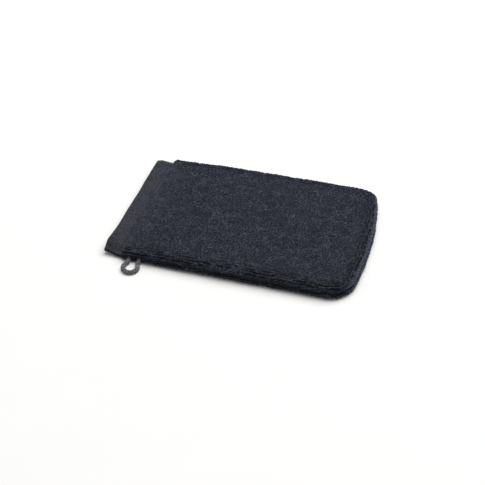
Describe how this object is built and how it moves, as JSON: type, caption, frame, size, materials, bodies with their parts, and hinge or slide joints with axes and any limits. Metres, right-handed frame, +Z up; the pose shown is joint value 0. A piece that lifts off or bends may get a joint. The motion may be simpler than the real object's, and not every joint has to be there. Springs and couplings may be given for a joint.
{
  "type": "wash mitt",
  "caption": "Flat terry wash mitt: plump panels sewn round three sides, an open cuff with flat-woven hems, and a swinging cord loop for hanging it up.",
  "frame": {"origin": "middle of the mitt's length and width, on the surface that it rests on, the loop left out", "axes": "+X from the cuff to the closed end, +Y across the mitt away from the loop, +Z up out of the upper panel"},
  "size_m": [0.2099, 0.1552, 0.0126],
  "materials": {
    "terry": "dense short loop pile, dark charcoal navy, matt with a soft sheen",
    "hem": "flat fine-ribbed weave, charcoal, matt",
    "thread": "dark polyester sewing thread",
    "cord": "mid-grey knitted and twisted cotton cord, matt"
  },
  "bodies": {
    "mitt": {"lower_terry_panel": "terry", "upper_terry_panel": "terry", "lower_cuff_hem": "hem", "upper_cuff_hem": "hem", "lower_hem_stitching": "thread", "upper_hem_stitching": "thread", "side_seam_stitching": "thread", "overlock_edging": "thread", "cuff_corner_tacks": "thread", "loop_sewn_ends": "cord", "loop_bar_tacks": "thread"},
    "loop": {"hanging_loop": "cord"}
  },
  "joints": [
    {"name": "loop_swing", "type": "hinge", "parent": "mitt", "child": "loop", "pos_m": [-0.079, -0.07201, 0.00185], "axis": [-1, 0, 0], "range_deg": [0, 100]}
  ]
}
